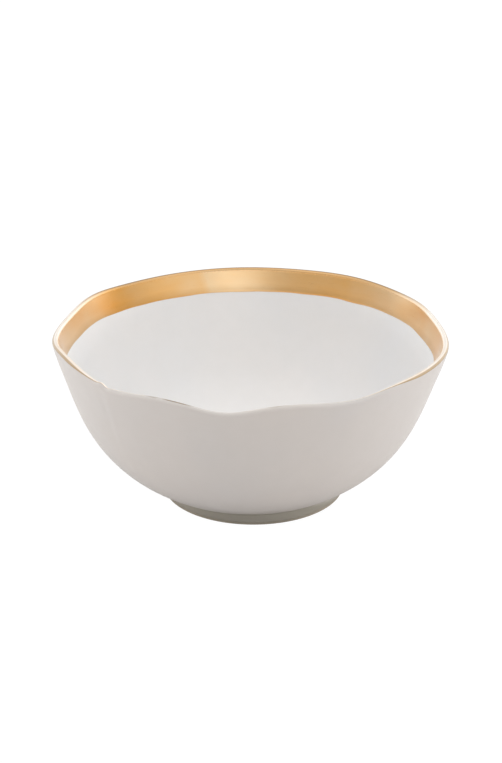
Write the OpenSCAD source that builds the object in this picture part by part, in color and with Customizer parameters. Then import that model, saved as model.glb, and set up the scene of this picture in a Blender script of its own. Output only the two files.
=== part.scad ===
// Porcelain serving bowl with a hand-formed wavy lip, a gold band inside the lip and a low foot ring.
// Millimetres. +Z is up, the foot's resting face is at z = 0, and the origin is under the middle of the lip.
// The -Y side is the front, where the lip dips. Angles run anticlockwise from +X, seen from above.

/* [Bowl] */
// Outside diameter across the lip, before its waves
lip_d = 250; // [220:5:290]
// Height of the lip above the table, before its waves
bowl_h = 108; // [95:1:120]
// Thickness of the wall at the lip
lip_t = 3; // [2.6:0.2:4]
// Thickness of the wall at the shoulder, measured level
shoulder_t = 3.5; // [3:0.1:5]
// Thickness of the floor over the foot's recess
floor_t = 4.5; // [3.5:0.5:6]
// Diameter of the flat middle of the floor
floor_flat_d = 60; // [40:5:70]

/* [Foot] */
// Outside diameter of the foot ring where it meets the wall
foot_d = 116; // [100:2:124]
// Height of the foot ring
foot_h = 8.5; // [6:0.5:11]
// How far the foot ring's side flares out towards the table
foot_flare = 1.2; // [0:0.1:1.6]
// Thickness of the foot ring at its top
foot_t = 6.5; // [5:0.5:8]
// How far the ring sits off the middle of the lip, towards +X
foot_shift = 2; // [0:0.5:2]

/* [Lip waves] */
// Height of the lip's waves: 1 as formed by hand, 0 for an even lip
wave_lift = 1; // [0:0.1:1.2]
// Swell of the lip out of round: 1 as formed by hand, 0 for a round lip
wave_swell = 1; // [0:0.1:1.2]

/* [Glaze and gold] */
// Thickness of the glaze coats
glaze_t = 0.4; // [0.3:0.05:0.6]
// Thickness of the gold
gold_t = 0.2; // [0.15:0.05:0.3]
// Height of the gold band inside the lip
band_h = 13.5; // [10:0.5:24]

/* [Hidden] */

$fn = 96;
around = 90;             // facets round the bowl
side_rows = 9;           // facets up the outside, from the foot to the shoulder
shoulder_rows = 2;       // facets from the shoulder to the lip, on each side of the wall
lip_rows = 4;            // facets over the lip's round edge
inside_rows = 9;         // facets down the inside, from the shoulder to the floor's flat middle

// Hand-formed waves of the lip: [angle, lift, spread]. The deepest is the dip at the front.
lift_waves = [
    [20, 1.5, 14],
    [54, 1.5, 18],
    [90, 0.4, 20],
    [150, 2, 13],
    [202, 4, 14],
    [228, -1, 9],
    [244, 1.8, 11],
    [263, -3, 9],
    [281, 1.6, 12],
    [300, -1.2, 11],
    [316, 0.8, 9]
];
// Where the lip swells out of round, or draws in: [angle, swell, spread]
swell_waves = [
    [12, -1.5, 12],
    [165, -1.5, 13],
    [192, 1.2, 14],
    [345, 1.8, 14]
];
wave_fade = 2;           // power with which the waves die away down the wall

// Where the wall's curves are pulled to, as fractions of the way out and up from the foot to the shoulder
belly = [0.74, 0.28];
side = [0.81, 0.61];
// The same for the inside, from the floor's flat middle to the shoulder
heel = [0.59, 0];
inner_side = [0.8, 0.32];

lip_edge_r = lip_t / 2;
lip_r = lip_d / 2;
lip_z = bowl_h - lip_edge_r;
shoulder_z = lip_z - band_h;
shoulder_in = 3.9;       // how far the outside's shoulder lies inside the lip
floor_z = foot_h + floor_t;
joint_gap = 0.1;         // room between the foot's glaze and the wall's glaze
joint_r = foot_d / 2 + glaze_t + foot_shift + joint_gap;

// A point at t along the curve from p0 to p3, which leaves towards p1 and arrives from p2
function curve(p0, p1, p2, p3, t) =
    pow(1 - t, 3) * p0 + 3 * t * pow(1 - t, 2) * p1 + 3 * t * t * (1 - t) * p2 + t * t * t * p3;

// A point inside the box from a to b, by its fractions of the box's width and height
function within(a, b, share) = [a[0] + share[0] * (b[0] - a[0]), a[1] + share[1] * (b[1] - a[1])];

// The outside of the wall, as [radius, height]: full in the belly, then nearly straight
joint = [joint_r, foot_h];
shoulder = [lip_r - shoulder_in, shoulder_z];
belly_pull = within(joint, shoulder, belly);
side_pull = within(joint, shoulder, side);
lip_out = [lip_r, lip_z];

// The inside of the wall, which is thickest at the heel over the foot
lip_in = [lip_r - lip_t, lip_z];
shoulder_inside = [shoulder[0] - shoulder_t, shoulder_z];
floor_edge = [floor_flat_d / 2, floor_z];
heel_pull = within(floor_edge, shoulder_inside, heel);
wall_pull = within(floor_edge, shoulder_inside, inner_side);

// A point at t between the shoulder and the lip, where the wall turns a little more upright
function turn(low, high, pull, t) =
    let (bend = low + 0.5 * norm(high - low) * (low - pull) / norm(low - pull))
    pow(1 - t, 2) * low + 2 * t * (1 - t) * bend + t * t * high;

// The whole profile, from the foot's joint up the outside, over the lip and down the inside to the floor
profile = concat(
    [for (i = [0:side_rows]) curve(joint, belly_pull, side_pull, shoulder, i / side_rows)],
    [for (i = [1:shoulder_rows]) turn(shoulder, lip_out, side_pull, i / shoulder_rows)],
    [for (i = [1:lip_rows - 1])
        let (a = 180 * i / lip_rows)
        [lip_r - lip_edge_r + lip_edge_r * cos(a), lip_z + lip_edge_r * sin(a)]],
    [for (i = [shoulder_rows:-1:1]) turn(shoulder_inside, lip_in, wall_pull, i / shoulder_rows)],
    [for (i = [inside_rows:-1:0])
        curve(floor_edge, heel_pull, wall_pull, shoulder_inside, i / inside_rows)]
);
last = len(profile) - 1;
lip_out_row = side_rows + shoulder_rows;
crest_row = lip_out_row + lip_rows / 2;
lip_in_row = lip_out_row + lip_rows;
band_low_row = lip_in_row + shoulder_rows;

// The direction away from the clay at one row of the profile
function outward(i) =
    let (d = profile[min(i + 1, last)] - profile[max(i - 1, 0)], n = [d[1], -d[0]] / norm(d))
    i == last ? [0, 1] : n;

// The profile with a coat of thickness t on it. Its first row stays level with the foot's joint.
function coated(i, t) =
    i == 0 ? profile[0] + [t / outward(0)[0], 0] : profile[i] + t * outward(i);

// The sum of a list's waves at angle a, from its wave i on
function wave_sum(list, a, i) =
    i == len(list) ? 0 :
    let (d = (a - list[i][0] + 540) % 360 - 180)
    list[i][1] * exp(-pow(d / list[i][2], 2)) + wave_sum(list, a, i + 1);

lift = [for (j = [0:around - 1]) wave_lift * wave_sum(lift_waves, 360 * j / around, 0)];
swell = [for (j = [0:around - 1]) wave_swell * wave_sum(swell_waves, 360 * j / around, 0)];

// Where a profile point lies at facet j, once the lip's waves are worked into the wall
function formed(p, j) =
    let (
        share = pow(max(0, p[1] - foot_h) / (bowl_h - foot_h), wave_fade),
        r = p[0] + share * swell[j],
        a = 360 * j / around
    )
    [r * cos(a), r * sin(a), p[1] + share * lift[j]];

function ring(i, t) = [for (j = [0:around - 1]) formed(coated(i, t), j)];

// Two triangles for the patch above ring a's point j. Both sides of a coat are cut the same way.
function patch(a, b, j) =
    let (k = (j + 1) % around)
    [[a + j, b + k, a + k], [a + j, b + j, b + k]];
function turned(faces) = [for (f = faces) [f[0], f[2], f[1]]];

// The clay: the profile's rings, closed by the flat underside and the floor's flat middle
module clay() {
    points = concat(
        [for (i = [0:last]) each ring(i, 0)],
        [[0, 0, foot_h], [0, 0, floor_z]]
    );
    underside = (last + 1) * around;
    floor_middle = underside + 1;
    top = last * around;
    faces = concat(
        [for (i = [0:last - 1], j = [0:around - 1]) each patch(i * around, (i + 1) * around, j)],
        [for (j = [0:around - 1]) [underside, j, (j + 1) % around]],
        [for (j = [0:around - 1]) [floor_middle, top + (j + 1) % around, top + j]]
    );
    polyhedron(points, faces);
}

// A coat over rows a to b of the profile, from depth low to depth high above the clay
module coat(a, b, low, high) {
    rows = b - a + 1;
    to_axis = b == last;
    over = rows * around;
    middle = 2 * over;
    points = concat(
        [for (i = [a:b]) each ring(i, low)],
        [for (i = [a:b]) each ring(i, high)],
        to_axis ? [[0, 0, floor_z + low], [0, 0, floor_z + high]] : []
    );
    end = (rows - 1) * around;
    faces = concat(
        [for (i = [0:rows - 2], j = [0:around - 1])
            each turned(patch(i * around, (i + 1) * around, j))],
        [for (i = [0:rows - 2], j = [0:around - 1])
            each patch(over + i * around, over + (i + 1) * around, j)],
        [for (j = [0:around - 1]) each patch(0, over, j)],
        to_axis
            ? [for (j = [0:around - 1]) each
                let (k = (j + 1) % around)
                [[middle, end + j, end + k], [middle + 1, over + end + k, over + end + j]]]
            : [for (j = [0:around - 1]) each turned(patch(end, over + end, j))]
    );
    polyhedron(points, faces);
}

// The foot ring's outlines, as [radius, height] from the ring's own axis
edge_r = 1.3;            // size of the soft edges at the resting face
recess_flare = 1;        // how far the recess widens towards the table
foot_top = [foot_d / 2, foot_h];
foot_low = foot_top + [foot_flare, edge_r - foot_h];
recess_top = [foot_d / 2 - foot_t, foot_h];
recess_low = recess_top + [recess_flare, edge_r - foot_h];

module bowl_body() {
    color("#e9e6e1")
        clay();
}

module foot_ring() {
    color("#cfc6ba")
        translate([foot_shift, 0, 0])
            rotate_extrude()
                polygon([
                    recess_top, recess_low, [recess_low[0] + edge_r, 0], [foot_low[0] - edge_r, 0],
                    foot_low, foot_top
                ]);
}

module inner_glaze() {
    color("#f1f0ee")
        coat(crest_row, last, 0, glaze_t);
}

module outer_glaze() {
    color("#d6d1cb")
        coat(0, crest_row, 0, glaze_t);
}

// The glaze on the foot's outer side
module foot_glaze() {
    skin = [glaze_t, 0];
    color("#d6d1cb")
        translate([foot_shift, 0, 0])
            rotate_extrude()
                polygon([foot_low, foot_low + skin, foot_top + skin, foot_top]);
}

// The glaze up the foot's inner side and across the underside of the floor
module base_glaze() {
    color("#e3dfda")
        translate([foot_shift, 0, 0])
            rotate_extrude()
                polygon([
                    [0, foot_h], [0, foot_h - glaze_t], recess_top - [glaze_t, glaze_t],
                    recess_low - [glaze_t, 0], recess_low, recess_top
                ]);
}

module gold_band() {
    color("#d9a34f")
        coat(lip_in_row, band_low_row, glaze_t, glaze_t + gold_t);
}

module gold_lip() {
    color("#e6bd77")
        coat(lip_out_row, lip_in_row, glaze_t, glaze_t + gold_t);
}

bowl_body();
foot_ring();
inner_glaze();
outer_glaze();
foot_glaze();
base_glaze();
gold_band();
gold_lip();
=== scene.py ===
"""A hand-formed porcelain serving bowl with a gold band inside its lip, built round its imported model."""

import math
import random

import bmesh
import bpy
import numpy as np
from bpy.props import FloatProperty, FloatVectorProperty, IntProperty, PointerProperty
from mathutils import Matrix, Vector


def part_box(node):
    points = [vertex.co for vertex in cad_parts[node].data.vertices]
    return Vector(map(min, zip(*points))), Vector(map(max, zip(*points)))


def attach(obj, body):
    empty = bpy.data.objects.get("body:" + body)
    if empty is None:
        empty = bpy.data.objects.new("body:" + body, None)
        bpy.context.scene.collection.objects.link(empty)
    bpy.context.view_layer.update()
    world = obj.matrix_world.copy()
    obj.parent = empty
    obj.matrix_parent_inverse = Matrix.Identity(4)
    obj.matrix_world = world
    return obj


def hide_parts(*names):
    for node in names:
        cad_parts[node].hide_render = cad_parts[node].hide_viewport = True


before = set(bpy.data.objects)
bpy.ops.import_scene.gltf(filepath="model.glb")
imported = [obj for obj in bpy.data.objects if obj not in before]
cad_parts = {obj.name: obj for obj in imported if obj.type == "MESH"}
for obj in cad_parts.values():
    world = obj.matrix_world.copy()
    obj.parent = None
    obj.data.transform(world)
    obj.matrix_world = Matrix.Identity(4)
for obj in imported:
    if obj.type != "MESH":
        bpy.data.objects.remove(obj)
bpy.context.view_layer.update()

bl_info = {
    "name": "Porcelain Serving Bowl",
    "version": (1, 0, 0),
    "blender": (4, 5, 0),
    "location": "View3D > Sidebar > Bowl",
    "description": "Builds a hand-formed porcelain serving bowl with a gold band inside its lip",
    "category": "Add Mesh",
}

MM = 0.001

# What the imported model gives: the foot ring's place and size, and the height of the wall's joint with it
foot_low, foot_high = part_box("foot_ring")
FOOT_HEIGHT = foot_high.z
FOOT_SHIFT = (foot_low.x + foot_high.x) / 2
FOOT_RADIUS = (foot_high.x - foot_low.x) / 2

# A little fold in the lip's edge, too small for the model: (degrees, millimetres up, spread in degrees)
FOLD = ((223.4, 0.9, 1.3), (226.0, -0.8, 1.4))

# The hand-formed waves of the lip, as in the model, up and down and then out and in, laid out like FOLD
LIFT_WAVES = (
    (20, 1.5, 14), (54, 1.5, 18), (90, 0.4, 20), (150, 2, 13), (202, 4, 14), (228, -1, 9),
    (244, 1.8, 11), (263, -3, 9), (281, 1.6, 12), (300, -1.2, 11), (316, 0.8, 9),
    *FOLD,
)
SWELL_WAVES = ((12, -1.5, 12), (165, -1.5, 13), (192, 1.2, 14), (345, 1.8, 14))

# The power by which the waves die out down the wall
WAVE_FADE = 2

# A soft bulge halfway up the wall, which the model leaves out: its angle and spread in degrees, its height
# and reach as shares of the bowl's height, and its size
BULGE = (188, 45, 0.55, 0.6, 0.75 * MM)

# The faint ripples of the hand-formed wall: how often each goes round, how far it may climb up the wall, in
# radians, and the share of the bowl's height over which they die out above the foot
RIPPLE_TURNS = (2, 3, 4, 5, 6, 7, 9, 11, 13)
RIPPLE_CLIMB = 2.5
RIPPLE_FADE = 0.35

# An uneven line, such as a brushed edge, is a sum of waves that go round this often
WOBBLE_TURNS = range(3, 40)

# The seeds of the ripples and of the uneven lines
RIPPLE_SEED = 11
BAND_SEED = 3
FOOT_SEED = 5
BRUSH_SEED = 8
RUB_SEED = 9

# Where the gilding has worn off the lip: the middle of that stretch and how far it reaches either way, in
# degrees, and the power that sets how quickly it begins and ends
WORN_FRONT = (267, 50)
WORN_POWER = 6

# Where a dark line runs along the crest in front, from 0, none, to 1: (degrees, share)
DARK_CREST_LINE = (
    (0, 0), (239, 0), (242, 0.8), (244.5, 0.25), (247, 1), (252, 0.9), (255.5, 0), (274, 0), (277, 0.6),
    (281, 0),
)

# Where the gilding's outer edge lies and how unevenly, in rows of the profile: above the lip's outer bend
# where it was brushed, and inside the crest where it has worn. Under the dark crest line it reaches further
# out, by the last of these.
BRUSHED_EDGE = (1.2, 0.5)
WORN_EDGE = (2.5, 0.9)
DARK_CREST_LINE_REACH = 3.2

# The depth of the gold across a film, as shares of its full depth: the band from its top down to the bead
# that the brush leaves, and the lip from the outside, where it thins out
BAND_DEPTH = (*[1.0] * 22, 1.05, 1.15, 1.25, 1.25, 1.05, 0.6)
LIP_DEPTH = (0.2, 0.6, 0.9, *[1.0] * 20)

# The foot's glaze: how far above the ring's soft edge it ends and how unevenly, and its depth as a share of
# the glaze's, with the height, spread and extra depth of the bead along its end
FOOT_GLAZE_END = 0.5 * MM
FOOT_GLAZE_WOBBLE = 0.16 * MM
FOOT_GLAZE_DEPTH = 0.55
BEAD = (0.5 * MM, 0.45 * MM, 0.6)

# How far under the wall's joint the foot's glaze begins to pool, and how far the pool's curve is pulled
# along both its ends, as a share of its span
POOL_START = 2.4 * MM
POOL_PULL = 0.55

# The soft corner of the recess under the floor
RECESS_CORNER = 2.2 * MM

# Where the wall's curves are pulled to, as fractions of the way out and up
BELLY = (0.74, 0.28)
SIDE = (0.81, 0.61)
HEEL = (0.59, 0.0)
INNER_SIDE = (0.8, 0.32)

# The studio: soft boxes of light round the bowl, each (towards it, cosine of its edge, cosine of its full
# part, strength), over an even light from all round
SOFT_LIGHTS = (
    ("overhead", (0.0, 0.0, 1.0), 0.6, 0.98, 0.7),
    ("high left", (-0.64, 0.0, 0.77), 0.75, 0.98, 0.36),
    ("high right", (0.64, 0.0, 0.77), 0.75, 0.98, 0.4),
    ("back left", (-0.69, 0.69, 0.21), 0.75, 0.98, 0.72),
    ("back right", (0.69, 0.69, 0.21), 0.75, 0.98, 1.0),
    ("front window", (0.09, -0.99, 0.10), 0.925, 0.98, 0.56),
    ("front right", (0.64, -0.77, 0.15), 0.76, 0.98, 0.28),
)

# Low lamps at the two sides, which light the wall but leave no glare in the gold: (name, place), their size
# and the point that they face
SIDE_LAMPS = (
    ("left_lamp", (-1.6, 0.1, 0.2)),
    ("right_lamp", (1.6, 0.1, 0.2)),
)
LAMP_WIDTH = 1.2
LAMP_HEIGHT = 0.25
LAMP_AIM = (0, 0, 0.06)

# How much of the floor is seen as a plain glow, and the glow's strength
FLOOR_SEEN = 0.94
FLOOR_GLOW = 1.05

# The width of the camera's film in millimetres
FILM_WIDTH = 36

# How thinly the gold was brushed on round the bowl, from 0, thick and deep, to 1, thin and pale, which also
# lays in painted highlights and shade where the gold reflects the studio's lights: (degrees, share)
THIN_GOLD_AND_PAINTED_GLINTS = (
    (0, 0.5), (10, 0.95), (16, 0.7), (22, 0.75), (36, 1.0), (46, 0.68), (56, 0.24), (72, 0.36),
    (80, 0.55), (88, 0.85), (104, 1.0), (106.5, 0.48), (112, 0.5), (124, 0.24), (131, 0.22),
    (136, 0.04), (141, 0.0), (145, 0.25), (149, 0.62), (157, 0.95), (166, 0.7), (180, 0.75),
    (200, 0.6), (270, 0.5), (330, 0.6),
)

# How the edges of these places slant up the wall: turns for each metre, and the height where they are given
THIN_SLANT = (-0.4, 0.1)

# How much the streaks and thin places of the brushing change that share either way
BRUSH_CHANGE = 0.16

# The gold is darker along its lower edge, partly thicker gold and partly painted shade where its reflection
# dims: (height where it is darkest, where that ends, tint)
GOLD_LOW_PAINTED_SHADE = (93.5 * MM, 99 * MM, (0.84, 0.81, 0.76))

# Painted shade round the foot: the height up to which the outer glaze is darkened into the foot glaze's
# colour, highest in front,
# and half the width of its soft border: (degrees, share of that height)
PAINTED_SHADE_TOP = 16 * MM
PAINTED_SHADE_SOFT = 1.6 * MM
PAINTED_SHADE_EDGE = (
    (0, 0.3), (90, 0.42), (180, 0.36), (205, 0.24), (218, 0.34), (232, 0.55), (250, 0.72), (272, 0.76),
    (290, 0.72), (305, 0.58), (318, 0.38), (335, 0.24),
)

# Between these lie most values of a noise
MOST = (0.3, 0.7)

# The scales of the noises and specks in the finishes, in cells for each metre
CLAY_GRAIN = 2600
CLAY_CLOUD = 28
GLAZE_CLOUD = 14
GLAZE_MOTTLE = 95
GLAZE_PEEL = 420
GOLD_GRAIN = 1900
SPECKS = 60
SPECK_CHOICE = 900

# The radius of a speck in the glaze and of its soft edge, as shares of a cell
SPECK_SIZE = (0.010, 0.022)

# The brushing in the gold is drawn out round the bowl: (scale round the bowl, scale up the wall, detail)
STREAKS = (7, 1300, 3)
WASH = (4, 70, 2)
RUBBING = (5, 160, 3)

# What the finishes' colours are multiplied by in their duller, brighter and stained places, and, in the
# last two, where painted shade darkens them
DULL = (0.95, 0.94, 0.92)
BRIGHT = (1.04, 1.03, 1.02)
PORES = (0.82, 0.79, 0.74)
WARM = (1.02, 1.0, 0.98)
COOL = (0.97, 0.975, 0.98)
SPECK_TINT = (0.75, 0.68, 0.58)
# Painted shade: the foot's glaze made darkest by the floor
PAINTED_CONTACT_SHADE = (0.86, 0.85, 0.84)
# Painted shade: the gilding's upward crest at the back
BACK_CREST_PAINTED_SHADE = (0.55, 0.62, 1.1)

# The sharpest bend that is still shaded as smooth
SMOOTH_ANGLE = math.radians(55)

# How finely the profile is cut, in rows
SIDE_ROWS = 60
TURN_ROWS = 8
LIP_ROWS = 16
INSIDE_ROWS = 60
FLOOR_ROWS = 8

# How many points the foot ring's and its coats' outlines have along each part
EDGE_POINTS = 7
RING_POINTS = 9
COAT_POINTS = 12
POOL_POINTS = 14
RECESS_POINTS = 8
CORNER_POINTS = 9
FLAT_POINTS = 12


# ---------------------------------------------------------------- sizes and colours

def length(name, text, default, low, high):
    return FloatProperty(name=name, description=text, default=default, min=low, max=high,
                         unit="LENGTH", precision=4)


def colour(name, text, default):
    return FloatVectorProperty(name=name, description=text, default=default, size=3, min=0, max=1,
                               subtype="COLOR")


class BowlSizes(bpy.types.PropertyGroup):
    """The bowl's driving sizes"""
    lip_radius: length("Lip radius", "Radius of the lip before its waves", 0.125, 0.11, 0.145)
    height: length("Height", "Height of the lip before its waves", 0.108, 0.095, 0.12)
    lip_thickness: length("Lip", "Thickness of the wall at the lip", 3 * MM, 2.6 * MM, 4 * MM)
    shoulder_in: length("Shoulder", "How far the shoulder lies inside the lip", 3.9 * MM, 3 * MM, 6 * MM)
    shoulder_thickness: length("Wall", "Thickness of the wall at the shoulder", 3.5 * MM, 3 * MM, 5 * MM)
    floor_thickness: length("Floor", "Thickness of the floor", 4.5 * MM, 3.5 * MM, 6 * MM)
    floor_flat: length("Flat floor", "Radius of the floor's flat middle", 0.03, 0.02, 0.035)
    foot_height: length("Foot height", "Height of the foot ring", FOOT_HEIGHT, 0.005, 0.012)
    foot_radius: length("Foot radius", "Radius of the foot ring at the table", FOOT_RADIUS, 0.05, 0.065)
    foot_flare: length("Foot flare", "How far the foot flares out downwards", 1.2 * MM, 0, 1.6 * MM)
    foot_thickness: length("Foot thickness", "Thickness of the foot at its top", 6.5 * MM, 5 * MM, 8 * MM)
    foot_shift: length("Foot shift", "How far the foot sits off the lip's middle", FOOT_SHIFT, 0, 3 * MM)
    joint_gap: length("Joint gap", "Room between the foot's glaze and the wall's", 0.1 * MM, 0, 1 * MM)
    edge_radius: length("Foot edge", "Size of the foot's soft edges", 1.3 * MM, 0.5 * MM, 2 * MM)
    recess_flare: length("Recess flare", "How far the recess widens downwards", 1 * MM, 0, 2 * MM)
    glaze: length("Glaze", "Thickness of the glaze coats", 0.4 * MM, 0.3 * MM, 0.6 * MM)
    gold: length("Gold", "Thickness of the gold", 0.2 * MM, 0.1 * MM, 0.3 * MM)
    band: length("Gold band", "Height of the gold band", 13.5 * MM, 10 * MM, 24 * MM)
    brush_wobble: length("Brush wobble", "Unevenness of the band's lower edge", 0.35 * MM, 0, 1 * MM)
    ripple: length("Ripple", "Depth of the hand-formed ripples in the wall", 0.3 * MM, 0, 0.5 * MM)
    around: IntProperty(name="Segments", description="Faces round the bowl", default=480, min=90, max=720)


class BowlFinish(bpy.types.PropertyGroup):
    """The colours of the clay, the glazes and the gold"""
    clay: colour("Porcelain", "The clay under the glaze", (0.79, 0.76, 0.71))
    # Painted shade: the bare foot is the clay's warm tint, darkened for the contact shade by the floor
    bare_foot: colour("Bare foot", "The unglazed resting face", (0.42, 0.37, 0.30))
    inner_glaze: colour("Inner glaze", "The white glaze inside", (0.862, 0.866, 0.874))
    # Painted shade: the outer glaze is the white glaze made darker, for the outside standing out of the
    # light, and a little warmer
    outer_glaze: colour("Outer glaze", "The warmer glaze outside", (0.605, 0.563, 0.535))
    # Painted shade: the foot glaze is the glaze darkened for the shadow under the wall and by the floor,
    # and it also colours the recess under the floor
    foot_glaze: colour("Foot glaze", "The glaze pooled round the foot", (0.385, 0.352, 0.295))
    gold: colour("Gold", "The gold lustre where it lies thick", (1.0, 0.515, 0.115))
    # The pale gold is thin gold and also the painted highlight where the gold reflects the studio's lights
    pale_gold_and_glint: colour("Pale gold", "The gold lustre where it lies thin", (0.98, 0.70, 0.395))
    # The edge gold is browner gold where the gilding ends, darkened with painted shade on the lip's outward
    # face
    edge_gold_and_shade: colour("Edge gold", "The browner gold where the gilding ends", (0.45, 0.31, 0.165))
    # The worn gold is rubbed, paler gilding and also a painted highlight along the lip's upward face at the
    # sides
    worn_gold_and_highlight: colour("Worn gold", "The gilding where the lip has worn", (0.97, 0.90, 0.81))
    # The dark crest line is a dark colour laid along the lip's crest in front
    dark_crest_line: colour("Old line", "What is left of the gilding's edge in front", (0.20, 0.16, 0.11))
    bare_lip: colour("Bare lip", "The gilding where it has worn away in front", (0.64, 0.60, 0.56))


class BowlStage(bpy.types.PropertyGroup):
    """The floor, the lights and the camera"""
    floor_size: length("Floor", "Side of the floor", 12.0, 2.0, 40.0)
    floor_colour: colour("Floor colour", "The pale floor", (0.85, 0.85, 0.85))
    elevation: FloatProperty(name="Elevation", description="Camera's height as an angle",
                             default=math.radians(22.82), subtype="ANGLE")
    distance: length("Distance", "From the camera to what it looks at", 1.237, 0.5, 4.0)
    aim_height: length("Aim", "Height of the point that the camera looks at", 0.0742, 0, 0.2)
    aim_side: length("Aim to the side", "How far right of the middle the camera looks", 0.4 * MM, -0.1, 0.1)
    lens: FloatProperty(name="Lens", description="Focal length in millimetres", default=90,
                        min=35, max=200)
    room_light: FloatProperty(name="Room light", description="Strength of the even light", default=0.53)
    soft_light: FloatProperty(name="Soft lights", description="Strength of the soft boxes", default=1.0)
    side_light: FloatProperty(name="Side lamps", description="Power of each low side lamp in watts",
                              default=7.0)


# ---------------------------------------------------------------- the bowl's form

def curve(p0, p1, p2, p3, t):
    """Points at shares t of a curve from p0 to p3, pulled towards p1 and p2"""
    t = t[..., None]
    return (1 - t) ** 3 * p0 + 3 * t * (1 - t) ** 2 * p1 + 3 * t * t * (1 - t) * p2 + t ** 3 * p3


def within(a, b, share):
    return a + np.array(share) * (b - a)


def degrees_off(degrees, centre):
    """How far round from the centre these angles lie, from -180 to 180"""
    return (degrees - centre + 540) % 360 - 180


def wave_sum(waves, degrees):
    """The sum of soft waves round the lip, in metres"""
    total = np.zeros_like(degrees)
    for centre, size, spread in waves:
        total += size * MM * np.exp(-(degrees_off(degrees, centre) / spread) ** 2)
    return total


class Form:
    """The profile of the bowl and where its points lie once the lip's waves are worked into the wall"""

    def __init__(self, sizes):
        self.s = sizes
        self.angles = np.arange(sizes.around) * 2 * math.pi / sizes.around
        self.degrees = np.degrees(self.angles)
        self.lift = wave_sum(LIFT_WAVES, self.degrees)
        self.swell = wave_sum(SWELL_WAVES, self.degrees)
        self.lay_out_profile()

    def lay_out_profile(self):
        """The points and outward directions of the clay's profile, from the foot's joint to the axis"""
        s = self.s
        edge = s.lip_thickness / 2
        lip_z = s.height - edge
        shoulder_z = lip_z - s.band
        foot_top = s.foot_radius - s.foot_flare
        self.joint = np.array((foot_top + s.glaze + s.foot_shift + s.joint_gap, s.foot_height))
        shoulder = np.array((s.lip_radius - s.shoulder_in, shoulder_z))
        shoulder_inside = shoulder - (s.shoulder_thickness, 0)
        floor_edge = np.array((s.floor_flat, s.foot_height + s.floor_thickness))
        lip_out = np.array((s.lip_radius, lip_z))
        lip_in = lip_out - (s.lip_thickness, 0)
        side_pull = within(self.joint, shoulder, SIDE)
        wall_pull = within(floor_edge, shoulder_inside, INNER_SIDE)
        arc = np.linspace(0, math.pi, LIP_ROWS + 1)[1:-1]
        lip = np.stack((s.lip_radius - edge + edge * np.cos(arc), lip_z + edge * np.sin(arc)), 1)
        parts = [
            curve(self.joint, within(self.joint, shoulder, BELLY), side_pull, shoulder,
                  np.linspace(0, 1, SIDE_ROWS + 1)),
            self.turn(shoulder, lip_out, side_pull)[1:],
            lip,
            self.turn(shoulder_inside, lip_in, wall_pull)[:0:-1],
            curve(floor_edge, within(floor_edge, shoulder_inside, HEEL), wall_pull, shoulder_inside,
                  np.linspace(1, 0, INSIDE_ROWS + 1)),
            np.stack((np.linspace(s.floor_flat, 0, FLOOR_ROWS + 1)[1:],
                      np.full(FLOOR_ROWS, floor_edge[1])), 1),
        ]
        self.points = np.concatenate(parts)
        along = np.gradient(self.points, axis=0)
        along /= np.linalg.norm(along, axis=1)[:, None]
        self.outward = np.stack((along[:, 1], -along[:, 0]), 1)
        self.outward[-FLOOR_ROWS:] = (0, 1)
        self.lip_out = SIDE_ROWS + TURN_ROWS
        self.crest = self.lip_out + LIP_ROWS // 2
        self.lip_in = self.lip_out + LIP_ROWS
        self.band_low = self.lip_in + TURN_ROWS
        self.last = len(self.points) - 1

    def turn(self, low, high, pull):
        """From the shoulder to the lip, where the wall turns a little more upright"""
        t = np.linspace(0, 1, TURN_ROWS + 1)[:, None]
        bend = low + np.linalg.norm(high - low) / 2 * (low - pull) / np.linalg.norm(low - pull)
        return (1 - t) ** 2 * low + 2 * t * (1 - t) * bend + t * t * high

    def coated(self, rows, depth):
        """Profile points at these rows, which may lie between the cut ones, with a coat of this depth"""
        whole = np.arange(self.last + 1)
        point = np.stack([np.interp(rows, whole, self.points[:, k]) for k in (0, 1)], -1)
        outward = np.stack([np.interp(rows, whole, self.outward[:, k]) for k in (0, 1)], -1)
        outward /= np.linalg.norm(outward, axis=-1)[..., None]
        depth = np.broadcast_to(depth, np.shape(rows))[..., None]
        return point + depth * outward

    def joint_edge(self):
        """Where the wall's glaze ends, level with the foot's joint"""
        return self.joint + (self.s.glaze / self.outward[0][0], 0)

    def ripples(self, height):
        """Soft uneven ripples of the hand-formed wall, which die out at the foot"""
        dice = random.Random(RIPPLE_SEED)
        share = np.clip((height - self.s.foot_height) / (RIPPLE_FADE * self.s.height), 0, 1)
        total = np.zeros_like(height)
        for turns in RIPPLE_TURNS:
            start, climb = dice.uniform(0, 2 * math.pi), dice.uniform(-RIPPLE_CLIMB, RIPPLE_CLIMB)
            size = dice.uniform(0.5, 1) * (3 / (turns + 1)) ** 0.8
            along = start + climb * height / self.s.height
            total += size * np.sin(turns * self.angles[:, None] + along)
        return 0.5 * self.s.ripple * total * share ** 2 * (3 - 2 * share)

    def bulge(self, height):
        """The soft bulge halfway up the wall"""
        centre, spread, middle, reach, size = BULGE
        off = degrees_off(self.degrees, centre)[:, None]
        up = (height / self.s.height - middle) / reach
        return size * np.exp(-(off / spread) ** 2) * np.clip(1 - up ** 2, 0, 1) ** 2

    def formed(self, profile):
        """The points of a profile, given once or for each angle, as (angles, rows, 3)"""
        profile = np.broadcast_to(profile, (self.s.around,) + np.shape(profile)[-2:])
        radius, height = profile[..., 0], profile[..., 1]
        rise = np.maximum(0, height - self.s.foot_height) / (self.s.height - self.s.foot_height)
        share = rise ** WAVE_FADE
        moved = share * self.swell[:, None] + self.ripples(height) + self.bulge(height)
        radius = radius + moved * (radius > 0)
        height = height + share * self.lift[:, None]
        return self.placed(radius, height)

    def placed(self, radius, height):
        turn = self.angles[:, None]
        return np.stack((radius * np.cos(turn), radius * np.sin(turn), height), -1)

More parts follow.
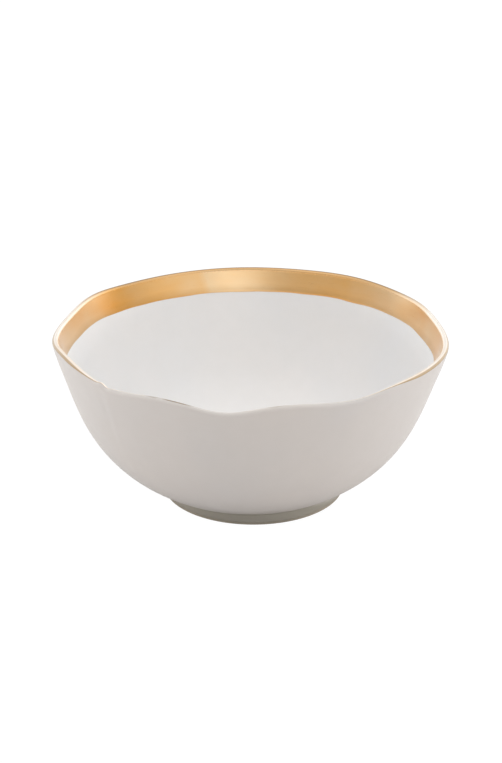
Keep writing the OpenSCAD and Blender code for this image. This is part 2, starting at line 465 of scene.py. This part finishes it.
    def off_centre(self, radius):
        """The distance from the lip's axis to a circle of this radius round the foot's own axis"""
        turn = self.angles[:, None]
        shift = self.s.foot_shift
        return shift * np.cos(turn) + np.sqrt(radius ** 2 - (shift * np.sin(turn)) ** 2)

    def wobble(self, seed, size):
        """An uneven line round the bowl, such as a brushed edge, in the unit of its size"""
        dice = random.Random(seed)
        total = np.zeros_like(self.angles)
        for turns in WOBBLE_TURNS:
            start = dice.uniform(0, 2 * math.pi)
            total += dice.uniform(0.3, 1) * turns ** -0.75 * np.sin(turns * self.angles + start)
        return size * total


def mesh_piece(name, loops, nodes, material, low_pole=None, high_pole=None):
    """A closed piece from loops of points, (angles, rows, 3). With poles, its ends close on the axis."""
    around, rows = loops.shape[:2]
    points = [tuple(p) for p in loops.reshape(-1, 3)]
    spans = rows - 1 if low_pole is not None else rows
    faces = []
    for j in range(around):
        here, there = j * rows, (j + 1) % around * rows
        for i in range(spans):
            k = (i + 1) % rows
            faces.append((here + i, there + i, there + k, here + k))
    if low_pole is not None:
        points += [low_pole, high_pole]
        low, high = len(points) - 2, len(points) - 1
        for j in range(around):
            here, there = j * rows, (j + 1) % around * rows
            faces.append((low, there, here))
            faces.append((high, here + rows - 1, there + rows - 1))
    mesh = bpy.data.meshes.new(name)
    mesh.from_pydata(points, [], faces)
    work = bmesh.new()
    work.from_mesh(mesh)
    bmesh.ops.recalc_face_normals(work, faces=work.faces)
    work.to_mesh(mesh)
    work.free()
    mesh.shade_smooth()
    mesh.set_sharp_from_angle(angle=SMOOTH_ANGLE)
    mesh.materials.append(material)
    piece = bpy.data.objects.new(name, mesh)
    bpy.context.scene.collection.objects.link(piece)
    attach(piece, "root")
    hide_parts(*nodes)


# ---------------------------------------------------------------- materials

class Finish:
    """A material's node tree, with short ways to add what the finishes share"""

    def __init__(self, name):
        self.material = bpy.data.materials.new(name)
        self.material.use_nodes = True
        self.nodes = self.material.node_tree.nodes
        self.links = self.material.node_tree.links
        self.shader = self.nodes["Principled BSDF"]
        self.place = self.add("ShaderNodeTexCoord").outputs["Object"]

    def add(self, kind, **values):
        node = self.nodes.new(kind)
        for key, value in values.items():
            setattr(node, key, value)
        return node

    def join(self, source, target):
        self.links.new(source, target)

    def value(self, socket, number):
        self.shader.inputs[socket].default_value = number

    def noise(self, scale, detail=3, roughness=0.5, place=None):
        node = self.add("ShaderNodeTexNoise")
        node.inputs["Scale"].default_value = scale
        node.inputs["Detail"].default_value = detail
        node.inputs["Roughness"].default_value = roughness
        self.join(place or self.place, node.inputs["Vector"])
        return node.outputs["Fac"]

    def brushed(self, turn_scale, height_scale, detail):
        """A noise that is drawn out round the bowl, along the brush's way"""
        return self.noise(1, detail, place=self.round_bowl(turn_scale, height_scale))

    def axes(self, source=None):
        """The X, Y and Z of a direction, or of the place on the piece when none is given"""
        node = self.add("ShaderNodeSeparateXYZ")
        self.join(source or self.place, node.inputs["Vector"])
        return node.outputs

    def spread(self, source, low, high, to_low=0.0, to_high=1.0):
        """source from low..high, turned to to_low..to_high"""
        node = self.add("ShaderNodeMapRange", clamp=True)
        node.inputs["From Min"].default_value = low
        node.inputs["From Max"].default_value = high
        node.inputs["To Min"].default_value = to_low
        node.inputs["To Max"].default_value = to_high
        self.join(source, node.inputs["Value"])
        return node.outputs["Result"]

    def maths(self, kind, a, b=None):
        node = self.add("ShaderNodeMath", operation=kind)
        for socket, given in zip(node.inputs, (a, b)):
            if isinstance(given, (int, float)):
                socket.default_value = given
            elif given is not None:
                self.join(given, socket)
        return node.outputs["Value"]

    def mix(self, share, a, b, kind="MIX"):
        """Colour a turned to colour b by a share, each a colour or a socket"""
        node = self.add("ShaderNodeMix", data_type="RGBA", blend_type=kind)
        self.join(share, node.inputs["Factor"])
        for socket, given in ((node.inputs[6], a), (node.inputs[7], b)):
            if hasattr(given, "links"):
                self.join(given, socket)
            else:
                socket.default_value = (*given, 1)
        return node.outputs[2]

    def bump(self, height, distance, strength):
        node = self.add("ShaderNodeBump")
        node.inputs["Distance"].default_value = distance
        node.inputs["Strength"].default_value = strength
        self.join(height, node.inputs["Height"])
        return node.outputs["Normal"]

    def round_bowl(self, turn_scale, height_scale):
        """A place that runs round the bowl, so that a noise on it is drawn out along the brush's way"""
        x, y, z = self.axes()
        squares = self.maths("ADD", self.maths("MULTIPLY", x, x), self.maths("MULTIPLY", y, y))
        radius = self.maths("SQRT", squares)
        joined = self.add("ShaderNodeCombineXYZ")
        for side, key in ((x, "X"), (y, "Y")):
            turned = self.maths("DIVIDE", side, radius)
            self.join(self.maths("MULTIPLY", turned, turn_scale), joined.inputs[key])
        self.join(self.maths("MULTIPLY", z, height_scale), joined.inputs["Z"])
        return joined.outputs["Vector"]

    def by_angle(self, stops, slant=None):
        """A share that changes round the bowl, from (degrees, share) stops, which may slant up the wall"""
        x, y, z = self.axes()
        turn = self.maths("DIVIDE", self.maths("ARCTAN2", y, x), 2 * math.pi)
        if slant is not None:
            climb = self.maths("SUBTRACT", z, slant[1])
            turn = self.maths("ADD", turn, self.maths("MULTIPLY", climb, slant[0]))
        ramp = self.add("ShaderNodeValToRGB")
        elements = ramp.color_ramp.elements
        elements.remove(elements[1])
        for degrees, share in stops:
            element = elements.new(degrees / 360) if degrees else elements[0]
            element.position = degrees / 360
            element.color = (share, share, share, 1)
        last = elements.new(1.0)
        last.color = elements[0].color
        self.join(self.maths("FRACT", turn), ramp.inputs["Fac"])
        return ramp.outputs["Color"]

    def set(self, socket, source):
        self.join(source, self.shader.inputs[socket])


def shade(rgb, times):
    return tuple(min(1.0, c * t) for c, t in zip(rgb, times))


def clay_finish(name, rgb, roughness):
    """Bare porcelain: matt and finely grained"""
    f = Finish(name)
    grain = f.noise(CLAY_GRAIN, detail=4, roughness=0.65)
    cloud = f.noise(CLAY_CLOUD, detail=2)
    tone = f.mix(f.spread(cloud, 0.35, 0.65), shade(rgb, DULL), shade(rgb, BRIGHT))
    f.set("Base Color", f.mix(f.spread(grain, 0.3, 0.75, 0, 0.35), tone, shade(rgb, PORES)))
    f.set("Roughness", f.spread(grain, *MOST, roughness - 0.07, roughness + 0.08))
    f.set("Normal", f.bump(grain, 0.05 * MM, 0.6))
    return f.material


def glaze_finish(name, rgb, roughness, coat, pooled=None):
    """A fired glaze: softly uneven in tone and gloss, with a faint orange-peel surface and a few fine
    specks. Given a colour for the foot, it passes round the foot into painted shade in that colour, darkest
    by the floor at its lower end."""
    f = Finish(name)
    cloud = f.noise(GLAZE_CLOUD, detail=2, roughness=0.45)
    mottle = f.noise(GLAZE_MOTTLE, detail=4, roughness=0.6)
    peel = f.noise(GLAZE_PEEL, detail=2)
    tone = f.mix(f.spread(cloud, *MOST), shade(rgb, COOL), shade(rgb, WARM))
    tone = f.mix(f.spread(mottle, 0.35, 0.7, 0, 0.25), tone, shade(rgb, DULL))
    specks = f.add("ShaderNodeTexVoronoi", feature="F1")
    specks.inputs["Scale"].default_value = SPECKS
    f.join(f.place, specks.inputs["Vector"])
    speck = f.spread(specks.outputs["Distance"], *SPECK_SIZE, 1, 0)
    chosen = f.spread(f.noise(SPECK_CHOICE, detail=0), 0.55, 0.6)
    speck = f.maths("MULTIPLY", speck, chosen)
    # Painted shade: the glaze darkens round the foot up to a border that climbs highest in front, and
    # darker still near the floor
    if pooled is not None:
        height = f.axes()["Z"]
        border = f.maths("MULTIPLY", f.by_angle(PAINTED_SHADE_EDGE), PAINTED_SHADE_TOP)
        border = f.maths("ADD", border, f.spread(mottle, *MOST, -0.4 * MM, 0.4 * MM))
        over = f.spread(f.maths("SUBTRACT", height, border), -PAINTED_SHADE_SOFT, PAINTED_SHADE_SOFT)
        deep = f.mix(f.spread(height, 0.8 * MM, 4 * MM), shade(pooled, PAINTED_CONTACT_SHADE), pooled)
        tone = f.mix(over, deep, tone)
    f.set("Base Color", f.mix(f.maths("MULTIPLY", speck, 0.3), tone, shade(rgb, SPECK_TINT)))
    gloss = f.maths("ADD", f.maths("MULTIPLY", mottle, 0.10), f.maths("MULTIPLY", cloud, 0.08))
    f.set("Roughness", f.spread(gloss, 0.05, 0.13, roughness - 0.05, roughness + 0.05))
    skin = f.maths("ADD", f.maths("MULTIPLY", peel, 0.3), f.maths("MULTIPLY", mottle, 0.7))
    f.set("Normal", f.bump(skin, 0.10 * MM, 0.5))
    f.value("Coat Weight", coat)
    f.value("Coat Roughness", 0.2)
    return f.material


def lustre_finish(name, deep, pale, roughness):
    """Brushed gold lustre under a clear film: thick and thin places with painted highlights and shade round
    the bowl, a darker lower edge that is partly painted shade, and faint streaks along the brush's way. Its
    tone and gloss are kept with it, for a finish that changes them further."""
    f = Finish(name)
    streak = f.brushed(*STREAKS)
    wash = f.brushed(*WASH)
    grain = f.noise(GOLD_GRAIN, detail=2)
    thin = f.maths("ADD", f.maths("MULTIPLY", streak, 0.15), f.maths("MULTIPLY", wash, 0.85))
    thin = f.spread(thin, *MOST, -BRUSH_CHANGE, BRUSH_CHANGE)
    # Painted highlights and shade: the share round the bowl lays in where the gold reflects the studio's
    # lights
    thin = f.maths("ADD", thin, f.by_angle(THIN_GOLD_AND_PAINTED_GLINTS, THIN_SLANT))
    tone = f.mix(f.spread(thin, 0, 1), deep, pale)
    # Painted shade: the gold darkens towards the band's lower edge
    dark_height, end_height, tint = GOLD_LOW_PAINTED_SHADE
    height = f.maths("ADD", f.axes()["Z"], f.spread(wash, *MOST, -1 * MM, 1 * MM))
    f.tone = f.mix(f.spread(height, dark_height, end_height, 1, 0), tone, tint, "MULTIPLY")
    gloss = f.maths("ADD", f.maths("MULTIPLY", streak, 0.25), f.maths("MULTIPLY", grain, 0.75))
    f.gloss = f.spread(gloss, *MOST, roughness - 0.03, roughness + 0.04)
    f.set("Roughness", f.gloss)
    f.value("Metallic", 1.0)
    f.value("Coat Weight", 0.8)
    f.value("Coat IOR", 1.6)
    f.value("Coat Roughness", 0.22)
    f.set("Base Color", f.tone)
    f.set("Normal", f.bump(wash, 0.09 * MM, 0.45))
    return f


def worn_finish(name, finish, roughness):
    """The gilding of the lip: paled where hands and spoons rub its upward face at the sides, with a painted
    highlight there, rubbed to the glaze in front, deep gold with painted shade on its upward crest at the
    back, and browner on the outward face, where the brush ran off, with painted shade there too"""
    f = lustre_finish(name, finish.gold, finish.pale_gold_and_glint, roughness)
    facing = f.add("ShaderNodeNewGeometry").outputs["Normal"]
    up = f.axes(facing)["Z"]
    back = f.axes()["Y"]
    # Painted shade: the gilding's upward faces at the back turn a darker deep gold
    fired = f.maths("MULTIPLY", f.spread(up, 0.35, 0.75), f.spread(back, 0.03, 0.09))
    tone = f.mix(fired, f.tone, shade(finish.gold, BACK_CREST_PAINTED_SHADE))
    # Wear and a painted highlight: the lip's upward faces at the sides turn pale and less metallic
    rub = f.spread(f.brushed(*RUBBING), 0.3, 0.6, 0.8, 1.0)
    rub = f.maths("MULTIPLY", rub, f.spread(up, 0.2, 0.7))
    rub = f.maths("MULTIPLY", rub, f.spread(back, 0.075, 0.03, 0.0, 1.0))
    worn = f.mix(f.spread(back, -0.112, -0.098), finish.bare_lip, finish.worn_gold_and_highlight)
    # A dark line laid along the crest in front
    line = f.maths("MULTIPLY", f.by_angle(DARK_CREST_LINE), f.spread(back, -0.05, -0.075))
    worn = f.mix(line, worn, finish.dark_crest_line)
    tone = f.mix(rub, tone, worn)
    f.set("Metallic", f.spread(rub, 0, 1, 1.0, 0.2))
    f.set("Roughness", f.maths("ADD", f.gloss, f.maths("MULTIPLY", rub, 0.25)))
    # Painted shade: the lip's outward faces take the darker edge gold
    flat = f.add("ShaderNodeVectorMath", operation="MULTIPLY")
    flat.inputs[1].default_value = (1, 1, 0)
    f.join(f.place, flat.inputs[0])
    outward = f.add("ShaderNodeVectorMath", operation="DOT_PRODUCT")
    f.join(flat.outputs["Vector"], outward.inputs[0])
    f.join(facing, outward.inputs[1])
    edge = f.mix(line, finish.edge_gold_and_shade, finish.dark_crest_line)
    f.set("Base Color", f.mix(f.spread(outward.outputs["Value"], 0.03, 0.07), tone, edge))
    return f


# ---------------------------------------------------------------- the pieces

class BowlPiece:
    """What the bowl's operators share"""
    bl_options = {"REGISTER", "UNDO"}

    def form(self, context):
        return Form(context.scene.bowl_sizes)


class BOWL_OT_body(BowlPiece, bpy.types.Operator):
    """Form the porcelain wall and floor"""
    bl_idname = "bowl.body"
    bl_label = "Bowl body"

    def execute(self, context):
        form, finish = self.form(context), context.scene.bowl_finish
        wall = form.formed(form.coated(np.arange(form.last), 0))
        middle = tuple(map(float, (0, 0, form.points[-1][1])))
        mesh_piece("porcelain_body", wall, ["bowl_body"],
                   clay_finish("fired_porcelain", finish.clay, 0.6),
                   low_pole=(0, 0, form.s.foot_height), high_pole=middle)
        return {"FINISHED"}


class BOWL_OT_foot(BowlPiece, bpy.types.Operator):
    """Turn the foot ring with its bare resting face"""
    bl_idname = "bowl.foot"
    bl_label = "Foot ring"

    def execute(self, context):
        form, finish = self.form(context), context.scene.bowl_finish
        radius, height = foot_outline(form.s)
        loops = form.placed(form.off_centre(radius[None, :]), height[None, :] + 0 * form.angles[:, None])
        # The foot ring's clay colour carries painted contact shade
        mesh_piece("foot_ring_clay", loops, ["foot_ring"],
                   clay_finish("bare_foot_clay", finish.bare_foot, 0.8))
        return {"FINISHED"}


def foot_side(s, height):
    """The outer radius of the foot ring at a height, round its own axis"""
    top = s.foot_radius - s.foot_flare
    return top + s.foot_flare * (s.foot_height - height) / (s.foot_height - s.edge_radius)


def recess_side(s, height):
    """The inner radius of the foot ring at a height, round its own axis"""
    top = s.foot_radius - s.foot_flare - s.foot_thickness
    return top + s.recess_flare * (s.foot_height - height) / (s.foot_height - s.edge_radius)


def foot_outline(s):
    """The foot ring's outline round its own axis: outer side, soft edges, flat face and inner side"""
    turn = np.linspace(0, math.pi / 2, EDGE_POINTS)
    edge = s.edge_radius
    down = np.linspace(s.foot_height, edge, RING_POINTS)[:-1]
    up = down[::-1]
    low = edge - edge * np.sin(turn)
    outer = s.foot_radius - edge + edge * np.cos(turn)
    inner = recess_side(s, edge) + edge - edge * np.cos(turn)
    radius = np.concatenate((foot_side(s, down), outer, inner[::-1], recess_side(s, up)))
    height = np.concatenate((down, low, low[::-1], up))
    return radius, height


class BOWL_OT_glaze(BowlPiece, bpy.types.Operator):
    """Coat the inside, the outside, the foot and the recess under the floor with glaze"""
    bl_idname = "bowl.glaze"
    bl_label = "Glaze coats"

    def execute(self, context):
        form, finish = self.form(context), context.scene.bowl_finish
        # The outer glaze carries painted shade, and round the foot it takes the foot glaze's painted shade
        outside = glaze_finish("outer_satin_glaze_painted_shade", finish.outer_glaze, 0.42, 0.2,
                               pooled=finish.foot_glaze)
        inside = glaze_finish("inner_white_glaze", finish.inner_glaze, 0.36, 0.15)
        # The recess glaze is painted shade, in the foot glaze's darkened colour
        recess = glaze_finish("recess_glaze_painted_shade", finish.foot_glaze, 0.45, 0.1)
        self.outer_coat(form, outside)
        self.inner_coat(form, inside)
        self.foot_coat(form, form.s, outside)
        self.recess_coat(form, form.s, recess)
        return {"FINISHED"}

    def outer_coat(self, form, material):
        """From the joint with the foot up to the lip's crest"""
        rows = np.arange(form.crest + 1)
        over, under = form.coated(rows, form.s.glaze), form.coated(rows, 0)
        over[0] = form.joint_edge()
        mesh_piece("outer_glaze_coat", form.formed(np.concatenate((over, under[::-1]))),
                   ["outer_glaze"], material)

    def inner_coat(self, form, material):
        """From the lip's crest down the inside and across the floor"""
        rows = np.arange(form.crest, form.last)
        over, under = form.coated(rows, form.s.glaze), form.coated(rows, 0)
        floor_z = float(form.points[-1][1])
        mesh_piece("inner_glaze_coat", form.formed(np.concatenate((under[::-1], over))),
                   ["inner_glaze"], material,
                   low_pole=(0, 0, floor_z), high_pole=(0, 0, floor_z + form.s.glaze))

    def foot_coat(self, form, s, material):
        """The foot's glaze ends in a soft bead over the bare clay and pools in the joint under the wall"""
        around = s.around
        low = s.edge_radius + FOOT_GLAZE_END + form.wobble(FOOT_SEED, FOOT_GLAZE_WOBBLE)[:, None]
        bend = s.foot_height - POOL_START
        climb = np.linspace(0, 1, COAT_POINTS)[None, :]
        height = low + (bend - low) * climb
        bead_height, bead_spread, bead_depth = BEAD
        bead = bead_depth * np.exp(-(((height - low) - bead_height) / bead_spread) ** 2)
        depth = (FOOT_GLAZE_DEPTH + bead) * np.clip(climb * 6 + 0.15, 0, 1)
        skin = form.off_centre(foot_side(s, height) + s.glaze * depth)
        start = np.stack((skin[:, -1], height[:, -1]), -1)
        end = np.broadcast_to(form.joint_edge(), (around, 2))
        slope = form.outward[0][[1, 0]] * (-1, 1)
        reach = np.linalg.norm(end - start, axis=1)[:, None] * POOL_PULL
        pull_up, pull_in = start + reach * (0.0, 1.0), end - reach * slope
        pool = curve(start[:, None], pull_up[:, None], pull_in[:, None], end[:, None],
                     np.linspace(0, 1, POOL_POINTS)[1:])
        clay_height = height[:, ::-1]
        clay = form.off_centre(foot_side(s, clay_height))
        ledge = form.off_centre(np.full((1, 1), s.foot_radius - s.foot_flare))
        ledge_height = np.full((around, 1), s.foot_height)
        joint = np.broadcast_to(form.joint, (around, 2))
        radius = np.concatenate((skin, pool[..., 0], joint[:, :1], ledge, clay), 1)
        heights = np.concatenate((height, pool[..., 1], joint[:, 1:], ledge_height, clay_height), 1)
        loops = form.placed(radius, heights)
        mesh_piece("foot_glaze_coat", loops, ["foot_glaze"], material)

    def recess_coat(self, form, s, material):
        """Up the foot's inner side, round a soft corner and across the underside of the floor"""
        low = s.edge_radius + FOOT_GLAZE_END
        ceiling = s.foot_height - s.glaze
        corner = RECESS_CORNER
        climb = np.linspace(low, ceiling - corner, RECESS_POINTS)
        side = recess_side(s, climb) - s.glaze
        turn = np.linspace(0, math.pi / 2, CORNER_POINTS)[1:]
        bend_r = side[-1] - corner + corner * np.cos(turn)
        bend_z = ceiling - corner + corner * np.sin(turn)
        flat_r = np.linspace(bend_r[-1], 0, FLAT_POINTS)[1:-1]
        flat_z = np.full(len(flat_r), ceiling)
        under_r = np.linspace(0, recess_side(s, s.foot_height), FLAT_POINTS)[1:]
        under_z = np.full(len(under_r), s.foot_height)
        down = climb[::-1]
        radius = np.concatenate((under_r, recess_side(s, down), side, bend_r, flat_r))
        height = np.concatenate((under_z, down, climb, bend_z, flat_z))
        turned = form.angles[:, None]
        loops = np.stack((s.foot_shift + radius * np.cos(turned), radius * np.sin(turned),
                          height + 0 * turned), -1)
        mesh_piece("base_glaze_coat", loops, ["base_glaze"], material,
                   low_pole=(s.foot_shift, 0, s.foot_height), high_pole=(s.foot_shift, 0, ceiling))


class BOWL_OT_gold(BowlPiece, bpy.types.Operator):
    """Brush on the gold: the band inside the lip and the gilding over its edge"""
    bl_idname = "bowl.gold"
    bl_label = "Gold band and lip"

    def execute(self, context):
        form, finish = self.form(context), context.scene.bowl_finish
        self.band(form, lustre_finish("gold_lustre_and_glints", finish.gold, finish.pale_gold_and_glint, 0.3).material)
        self.lip(form, worn_finish("worn_gilding_painted_light", finish, 0.28).material)
        return {"FINISHED"}

    def film(self, form, name, node, material, first, last, depth):
        """A film of gold between two rows, given for each angle, with its depth from edge to edge"""
        s = form.s
        t = np.linspace(0, 1, len(depth))[None, :]
        rows = first[:, None] + (last - first)[:, None] * t
        over = form.coated(rows, s.glaze + s.gold * np.array(depth))
        under = form.coated(rows, s.glaze)[:, ::-1]
        mesh_piece(name, form.formed(np.concatenate((over, under), 1)), [node], material)

    def band(self, form, material):
        """The band under the lip, with the bead that the brush leaves along its lower edge"""
        s = form.s
        edge = form.band_low + form.wobble(BAND_SEED, s.brush_wobble) * TURN_ROWS / s.band
        top = np.full(s.around, float(form.lip_in))
        self.film(form, "gold_band_lustre", "gold_band", material, top, edge, BAND_DEPTH)

    def lip(self, form, material):
        """The gilding over the lip, brushed past its edge and worn back to its crest in front"""
        centre, reach = WORN_FRONT
        worn = np.exp(-(degrees_off(form.degrees, centre) / reach) ** WORN_POWER)
        height, uneven = BRUSHED_EDGE
        brushed = form.lip_out + height + form.wobble(BRUSH_SEED, uneven)
        left = np.interp(form.degrees, *zip(*DARK_CREST_LINE))
        height, uneven = WORN_EDGE
        rubbed = form.crest + height + form.wobble(RUB_SEED, uneven) * (1 - left) - DARK_CREST_LINE_REACH * left
        outer = brushed + worn * (rubbed - brushed)
        inner = np.full(form.s.around, float(form.lip_in))
        self.film(form, "gold_lip_gilding", "gold_lip", material, outer, inner, LIP_DEPTH)


# ---------------------------------------------------------------- the stage

class BOWL_OT_stage(bpy.types.Operator):
    """Set the bowl on a pale floor under soft studio light, with its camera"""
    bl_idname = "bowl.stage"
    bl_label = "Floor, lights and camera"
    bl_options = {"REGISTER", "UNDO"}

    def execute(self, context):
        stage = context.scene.bowl_stage
        self.floor(context, stage)
        self.room(context, stage)
        for name, place in SIDE_LAMPS:
            self.lamp(context, name, Vector(place), stage.side_light)
        self.camera(context, stage)
        return {"FINISHED"}

    def floor(self, context, stage):
        half = stage.floor_size / 2
        mesh = bpy.data.meshes.new("floor")
        corners = [(x * half, y * half, 0) for x, y in ((-1, -1), (1, -1), (1, 1), (-1, 1))]
        mesh.from_pydata(corners, [], [(0, 1, 2, 3)])
        mesh.materials.append(self.floor_finish(stage))
        plane = bpy.data.objects.new("floor", mesh)
        context.scene.collection.objects.link(plane)

    def floor_finish(self, stage):
        """A pale floor that is seen nearly white, so that it carries only a breath of shadow"""
        f = Finish("pale_floor")
        f.value("Base Color", (*stage.floor_colour, 1))
        f.value("Roughness", 0.9)
        glow = f.add("ShaderNodeEmission")
        path = f.add("ShaderNodeLightPath")
        mix = f.add("ShaderNodeMixShader")
        share = f.maths("MULTIPLY", path.outputs["Is Camera Ray"], FLOOR_SEEN)
        f.join(share, mix.inputs["Fac"])
        f.join(f.shader.outputs["BSDF"], mix.inputs[1])
        f.join(glow.outputs["Emission"], mix.inputs[2])
        glow.inputs["Strength"].default_value = FLOOR_GLOW
        f.join(mix.outputs["Shader"], f.nodes["Material Output"].inputs["Surface"])
        return f.material

    def room(self, context, stage):
        """Soft light from all round, stronger where the soft boxes stand, and seen as plain white"""
        world = bpy.data.worlds.new("studio")
        context.scene.world = world
        world.use_nodes = True
        nodes, links = world.node_tree.nodes, world.node_tree.links
        towards = nodes.new("ShaderNodeTexCoord").outputs["Generated"]
        total = nodes.new("ShaderNodeValue")
        total.outputs[0].default_value = stage.room_light
        total = total.outputs[0]
        for name, place, edge, full, strength in SOFT_LIGHTS:
            facing = nodes.new("ShaderNodeVectorMath")
            facing.operation = "DOT_PRODUCT"
            facing.inputs[1].default_value = Vector(place).normalized()
            links.new(towards, facing.inputs[0])
            box = nodes.new("ShaderNodeMapRange")
            box.label = name
            box.interpolation_type = "SMOOTHSTEP"
            box.inputs["From Min"].default_value = edge
            box.inputs["From Max"].default_value = full
            box.inputs["To Max"].default_value = strength * stage.soft_light
            links.new(facing.outputs["Value"], box.inputs["Value"])
            both = nodes.new("ShaderNodeMath")
            links.new(total, both.inputs[0])
            links.new(box.outputs["Result"], both.inputs[1])
            total = both.outputs["Value"]
        light = nodes["Background"]
        light.inputs["Color"].default_value = (1, 1, 1, 1)
        links.new(total, light.inputs["Strength"])
        seen = nodes.new("ShaderNodeBackground")
        seen.inputs["Color"].default_value = (1, 1, 1, 1)
        path = nodes.new("ShaderNodeLightPath")
        mix = nodes.new("ShaderNodeMixShader")
        links.new(path.outputs["Is Camera Ray"], mix.inputs["Fac"])
        links.new(light.outputs["Background"], mix.inputs[1])
        links.new(seen.outputs["Background"], mix.inputs[2])
        links.new(mix.outputs["Shader"], nodes["World Output"].inputs["Surface"])

    def lamp(self, context, name, place, power):
        data = bpy.data.lights.new(name, "AREA")
        data.shape = "RECTANGLE"
        data.size = LAMP_WIDTH
        data.size_y = LAMP_HEIGHT
        data.energy = power
        lamp = bpy.data.objects.new(name, data)
        lamp.location = place
        lamp.rotation_euler = (Vector(LAMP_AIM) - place).to_track_quat("-Z", "Y").to_euler()
        lamp.visible_camera = False
        lamp.visible_glossy = False
        context.scene.collection.objects.link(lamp)

    def camera(self, context, stage):
        data = bpy.data.cameras.new("camera")
        data.sensor_width = FILM_WIDTH
        data.lens = stage.lens
        data.dof.use_dof = False
        camera = bpy.data.objects.new("camera", data)
        aim = Vector((stage.aim_side, 0, stage.aim_height))
        back = Vector((0, -math.cos(stage.elevation), math.sin(stage.elevation)))
        camera.location = aim + back * stage.distance
        camera.rotation_euler = (-back).to_track_quat("-Z", "Y").to_euler()
        context.scene.collection.objects.link(camera)
        context.scene.camera = camera
        context.scene.view_settings.view_transform = "Standard"


class BOWL_PT_panel(bpy.types.Panel):
    """The bowl's pieces, sizes and colours"""
    bl_idname = "BOWL_PT_panel"
    bl_label = "Serving Bowl"
    bl_space_type = "VIEW_3D"
    bl_region_type = "UI"
    bl_category = "Bowl"

    def draw(self, context):
        layout = self.layout
        for operator in OPERATORS:
            layout.operator(operator.bl_idname, text=operator.bl_label)
        for group in (context.scene.bowl_sizes, context.scene.bowl_finish, context.scene.bowl_stage):
            box = layout.box()
            for key in group.__annotations__:
                box.prop(group, key)


OPERATORS = (BOWL_OT_body, BOWL_OT_foot, BOWL_OT_glaze, BOWL_OT_gold, BOWL_OT_stage)
CLASSES = (BowlSizes, BowlFinish, BowlStage, *OPERATORS, BOWL_PT_panel)


def register():
    for item in CLASSES:
        bpy.utils.register_class(item)
    bpy.types.Scene.bowl_sizes = PointerProperty(type=BowlSizes)
    bpy.types.Scene.bowl_finish = PointerProperty(type=BowlFinish)
    bpy.types.Scene.bowl_stage = PointerProperty(type=BowlStage)


def unregister():
    del bpy.types.Scene.bowl_stage
    del bpy.types.Scene.bowl_finish
    del bpy.types.Scene.bowl_sizes
    for item in reversed(CLASSES):
        bpy.utils.unregister_class(item)


def main():
    register()
    bpy.ops.bowl.body()
    bpy.ops.bowl.foot()
    bpy.ops.bowl.glaze()
    bpy.ops.bowl.gold()
    bpy.ops.bowl.stage()


if __name__ == "__main__":
    main()
